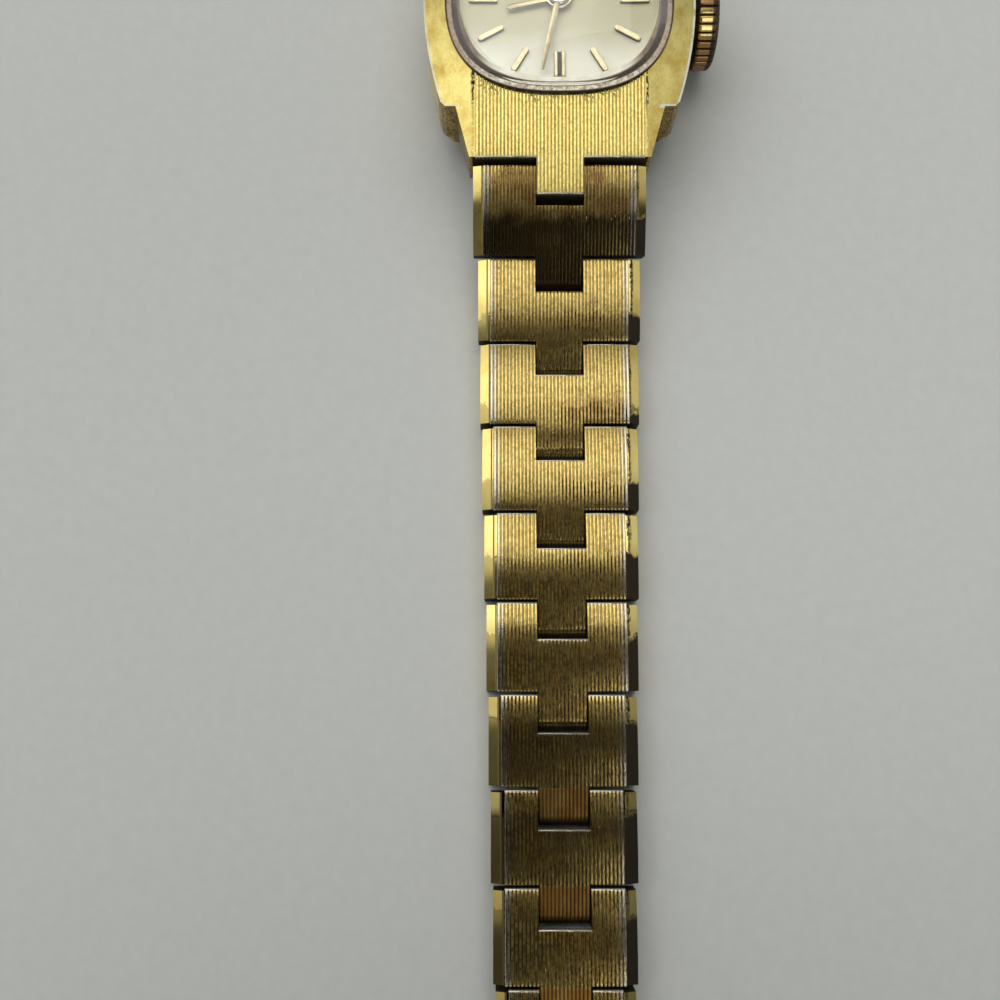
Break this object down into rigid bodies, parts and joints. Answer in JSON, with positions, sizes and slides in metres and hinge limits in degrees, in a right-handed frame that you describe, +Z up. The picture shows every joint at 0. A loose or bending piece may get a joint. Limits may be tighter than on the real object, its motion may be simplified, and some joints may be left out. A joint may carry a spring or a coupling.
{
  "type": "mechanical wrist watch",
  "caption": "Small hand-wound mechanical watch with a gold cushion case, domed crystal, baton markers and a folded-link bracelet laid out open.",
  "frame": {"origin": "middle of the flat of the case back, at the rest plane", "axes": "+X to the crown, +Y to twelve o'clock along the bracelet, +Z up through the crystal"},
  "size_m": [0.0166, 0.1701, 0.0068],
  "materials": {
    "gold_case": "gold plated, worn",
    "steel": "fine ground",
    "movement_brass": "gilt",
    "ruby": "polished",
    "crystal_glass": "clear, lightly scratched",
    "dial_silver": "silvered, brushed lengthwise"
  },
  "bodies": {
    "case_body": {"case": "gold_case", "case_back": "steel", "movement_ring": "steel", "crystal": "crystal_glass", "dial": "dial_silver", "hour_markers": "gold_case", "crown_tube": "movement_brass", "mainplate": "movement_brass", "barrel_bridge": "steel", "train_bridge": "steel", "balance_cock": "steel", "pallet_bridge": "steel", "movement_screws": "steel", "jewels": "ruby", "hairspring": "steel"},
    "minute_arbor": {"center_wheel": "movement_brass", "cannon_pinion": "steel", "minute_hand": "gold_case"},
    "third_arbor": {"third_wheel": "movement_brass"},
    "fourth_arbor": {"fourth_wheel": "movement_brass"},
    "escape_arbor": {"escape_wheel": "steel"},
    "barrel_drum": {"barrel": "movement_brass", "mainspring": "steel"},
    "minute_wheel_body": {"minute_wheel": "movement_brass"},
    "hour_arbor": {"hour_wheel": "movement_brass", "hour_hand": "gold_case"},
    "pallet_lever": {"pallet_fork": "steel"},
    "balance_staff": {"balance_wheel": "movement_brass"},
    "stem": {"winding_stem": "steel"},
    "crown_head": {"crown": "gold_case"},
    "winding_wheel": {"winding_pinion": "steel"},
    "crown_wheel_body": {"crown_wheel": "steel"},
    "ratchet_arbor": {"ratchet_wheel": "steel", "barrel_arbor": "steel"},
    "sliding_clutch": {"sliding_pinion": "steel"},
    "click_body": {"click": "steel"},
    "six_1": {"six_link_1": "gold_case"},
    "six_2": {"six_link_2": "gold_case"},
    "six_3": {"six_link_3": "gold_case"},
    "six_4": {"six_link_4": "gold_case"},
    "six_5": {"six_link_5": "gold_case"},
    "six_6": {"six_link_6": "gold_case"},
    "six_7": {"six_link_7": "gold_case"},
    "six_8": {"six_link_8": "gold_case"},
    "six_9": {"six_link_9": "gold_case"},
    "six_10": {"six_link_10": "gold_case"},
    "ladder": {"ladder_end": "gold_case"},
    "twelve_1": {"twelve_link_1": "gold_case"},
    "twelve_2": {"twelve_link_2": "gold_case"},
    "twelve_3": {"twelve_link_3": "gold_case"},
    "twelve_4": {"twelve_link_4": "gold_case"},
    "twelve_5": {"twelve_link_5": "gold_case"},
    "twelve_6": {"twelve_link_6": "gold_case"},
    "twelve_7": {"twelve_link_7": "gold_case"},
    "twelve_8": {"twelve_link_8": "gold_case"},
    "twelve_9": {"twelve_link_9": "gold_case"},
    "clasp": {"clasp_base": "gold_case"},
    "cover": {"clasp_cover": "gold_case"}
  },
  "joints": [
    {"name": "minute_spin", "type": "hinge", "parent": "case_body", "child": "minute_arbor", "pos_m": [0, 0, 0.004], "axis": [0, 0, 1], "continuous": true},
    {"name": "third_spin", "type": "hinge", "parent": "case_body", "child": "third_arbor", "pos_m": [0.00081, -0.00224, 0.002], "axis": [0, 0, 1], "continuous": true},
    {"name": "fourth_spin", "type": "hinge", "parent": "case_body", "child": "fourth_arbor", "pos_m": [-0.00101, -0.00273, 0.002], "axis": [0, 0, 1], "continuous": true},
    {"name": "escape_spin", "type": "hinge", "parent": "case_body", "child": "escape_arbor", "pos_m": [-0.00251, -0.00186, 0.002], "axis": [0, 0, 1], "continuous": true},
    {"name": "barrel_spin", "type": "hinge", "parent": "case_body", "child": "barrel_drum", "pos_m": [0.00074, 0.00275, 0.002], "axis": [0, 0, 1], "continuous": true},
    {"name": "minute_wheel_spin", "type": "hinge", "parent": "case_body", "child": "minute_wheel_body", "pos_m": [-0.0015, -0.00055, 0.004], "axis": [0, 0, 1], "continuous": true},
    {"name": "hour_spin", "type": "hinge", "parent": "case_body", "child": "hour_arbor", "pos_m": [0, 0, 0.004], "axis": [0, 0, 1], "continuous": true},
    {"name": "pallet_rock", "type": "hinge", "parent": "case_body", "child": "pallet_lever", "pos_m": [-0.00312, -0.00073, 0.002], "axis": [0, 0, 1], "range_deg": [-5, 5]},
    {"name": "balance_swing", "type": "hinge", "parent": "case_body", "child": "balance_staff", "pos_m": [-0.00381, 0.00054, 0.002], "axis": [0, 0, 1], "range_deg": [-135, 135]},
    {"name": "stem_pull", "type": "slide", "parent": "case_body", "child": "stem", "axis": [1, 0, 0], "range_m": [0, 0.0006]},
    {"name": "crown_spin", "type": "hinge", "parent": "stem", "child": "crown_head", "pos_m": [0.008, 0, 0.0028], "axis": [1, 0, 0], "continuous": true},
    {"name": "winding_spin", "type": "hinge", "parent": "case_body", "child": "winding_wheel", "pos_m": [0.0042, 0, 0.0028], "axis": [1, 0, 0], "continuous": true},
    {"name": "crown_wheel_spin", "type": "hinge", "parent": "case_body", "child": "crown_wheel_body", "pos_m": [0.00328, 0, 0.001], "axis": [0, 0, 1], "continuous": true},
    {"name": "ratchet_spin", "type": "hinge", "parent": "case_body", "child": "ratchet_arbor", "pos_m": [0.00074, 0.00275, 0.001], "axis": [0, 0, 1], "continuous": true},
    {"name": "sliding_shift", "type": "slide", "parent": "case_body", "child": "sliding_clutch", "axis": [1, 0, 0], "range_m": [-0.00025, 0]},
    {"name": "click_rock", "type": "hinge", "parent": "case_body", "child": "click_body", "pos_m": [-0.00213, 0.00171, 0.001], "axis": [0, 0, 1], "range_deg": [-12, 0]},
    {"name": "six_fold_1", "type": "hinge", "parent": "case_body", "child": "six_1", "pos_m": [0, -0.01065, 0.0029], "axis": [1, 0, 0], "range_deg": [-8, 45]},
    {"name": "six_fold_2", "type": "hinge", "parent": "six_1", "child": "six_2", "pos_m": [0, -0.01524, 0.00149], "axis": [1, 0, 0], "range_deg": [-8, 20]},
    {"name": "six_fold_3", "type": "hinge", "parent": "six_2", "child": "six_3", "pos_m": [0, -0.01997, 0.0007], "axis": [1, 0, 0], "range_deg": [-8, 20]},
    {"name": "six_fold_4", "type": "hinge", "parent": "six_3", "child": "six_4", "pos_m": [0, -0.02477, 0.0007], "axis": [1, 0, 0], "range_deg": [-8, 20]},
    {"name": "six_fold_5", "type": "hinge", "parent": "six_4", "child": "six_5", "pos_m": [0, -0.02957, 0.0007], "axis": [1, 0, 0], "range_deg": [-8, 20]},
    {"name": "six_fold_6", "type": "hinge", "parent": "six_5", "child": "six_6", "pos_m": [0, -0.03437, 0.0007], "axis": [1, 0, 0], "range_deg": [-8, 20]},
    {"name": "six_fold_7", "type": "hinge", "parent": "six_6", "child": "six_7", "pos_m": [0, -0.03917, 0.0007], "axis": [1, 0, 0], "range_deg": [-8, 20]},
    {"name": "six_fold_8", "type": "hinge", "parent": "six_7", "child": "six_8", "pos_m": [0, -0.04397, 0.0007], "axis": [1, 0, 0], "range_deg": [-8, 20]},
    {"name": "six_fold_9", "type": "hinge", "parent": "six_8", "child": "six_9", "pos_m": [0, -0.04877, 0.0007], "axis": [1, 0, 0], "range_deg": [-8, 20]},
    {"name": "six_fold_10", "type": "hinge", "parent": "six_9", "child": "six_10", "pos_m": [0, -0.05357, 0.0007], "axis": [1, 0, 0], "range_deg": [-8, 20]},
    {"name": "ladder_fold", "type": "hinge", "parent": "six_10", "child": "ladder", "pos_m": [0, -0.05837, 0.0007], "axis": [1, 0, 0], "range_deg": [-8, 20]},
    {"name": "twelve_fold_1", "type": "hinge", "parent": "case_body", "child": "twelve_1", "pos_m": [0, 0.01065, 0.0029], "axis": [1, 0, 0], "range_deg": [-45, 8]},
    {"name": "twelve_fold_2", "type": "hinge", "parent": "twelve_1", "child": "twelve_2", "pos_m": [0, 0.01524, 0.00149], "axis": [1, 0, 0], "range_deg": [-20, 8]},
    {"name": "twelve_fold_3", "type": "hinge", "parent": "twelve_2", "child": "twelve_3", "pos_m": [0, 0.01997, 0.0007], "axis": [1, 0, 0], "range_deg": [-20, 8]},
    {"name": "twelve_fold_4", "type": "hinge", "parent": "twelve_3", "child": "twelve_4", "pos_m": [0, 0.02477, 0.0007], "axis": [1, 0, 0], "range_deg": [-20, 8]},
    {"name": "twelve_fold_5", "type": "hinge", "parent": "twelve_4", "child": "twelve_5", "pos_m": [0, 0.02957, 0.0007], "axis": [1, 0, 0], "range_deg": [-20, 8]},
    {"name": "twelve_fold_6", "type": "hinge", "parent": "twelve_5", "child": "twelve_6", "pos_m": [0, 0.03437, 0.0007], "axis": [1, 0, 0], "range_deg": [-20, 8]},
    {"name": "twelve_fold_7", "type": "hinge", "parent": "twelve_6", "child": "twelve_7", "pos_m": [0, 0.03917, 0.0007], "axis": [1, 0, 0], "range_deg": [-20, 8]},
    {"name": "twelve_fold_8", "type": "hinge", "parent": "twelve_7", "child": "twelve_8", "pos_m": [0, 0.04397, 0.0007], "axis": [1, 0, 0], "range_deg": [-20, 8]},
    {"name": "twelve_fold_9", "type": "hinge", "parent": "twelve_8", "child": "twelve_9", "pos_m": [0, 0.04877, 0.0007], "axis": [1, 0, 0], "range_deg": [-20, 8]},
    {"name": "clasp_fold", "type": "hinge", "parent": "twelve_9", "child": "clasp", "pos_m": [0, 0.05357, 0.0007], "axis": [1, 0, 0], "range_deg": [-20, 8]},
    {"name": "cover_fold", "type": "hinge", "parent": "clasp", "child": "cover", "pos_m": [0, 0.07577, 0.0007], "axis": [1, 0, 0], "range_deg": [0, 178]}
  ],
  "couplings": [
    {"joint": "third_spin", "follows": "minute_spin", "ratio": -7.5},
    {"joint": "fourth_spin", "follows": "minute_spin", "ratio": 60},
    {"joint": "escape_spin", "follows": "minute_spin", "ratio": -600},
    {"joint": "barrel_spin", "follows": "minute_spin", "ratio": -0.16667},
    {"joint": "minute_wheel_spin", "follows": "minute_spin", "ratio": -0.33333},
    {"joint": "hour_spin", "follows": "minute_spin", "ratio": 0.083333},
    {"joint": "winding_spin", "follows": "crown_spin", "ratio": 1},
    {"joint": "crown_wheel_spin", "follows": "crown_spin", "ratio": 0.65385},
    {"joint": "ratchet_spin", "follows": "crown_spin", "ratio": -0.34694},
    {"joint": "sliding_shift", "follows": "stem_pull", "ratio": -0.41667}
  ]
}
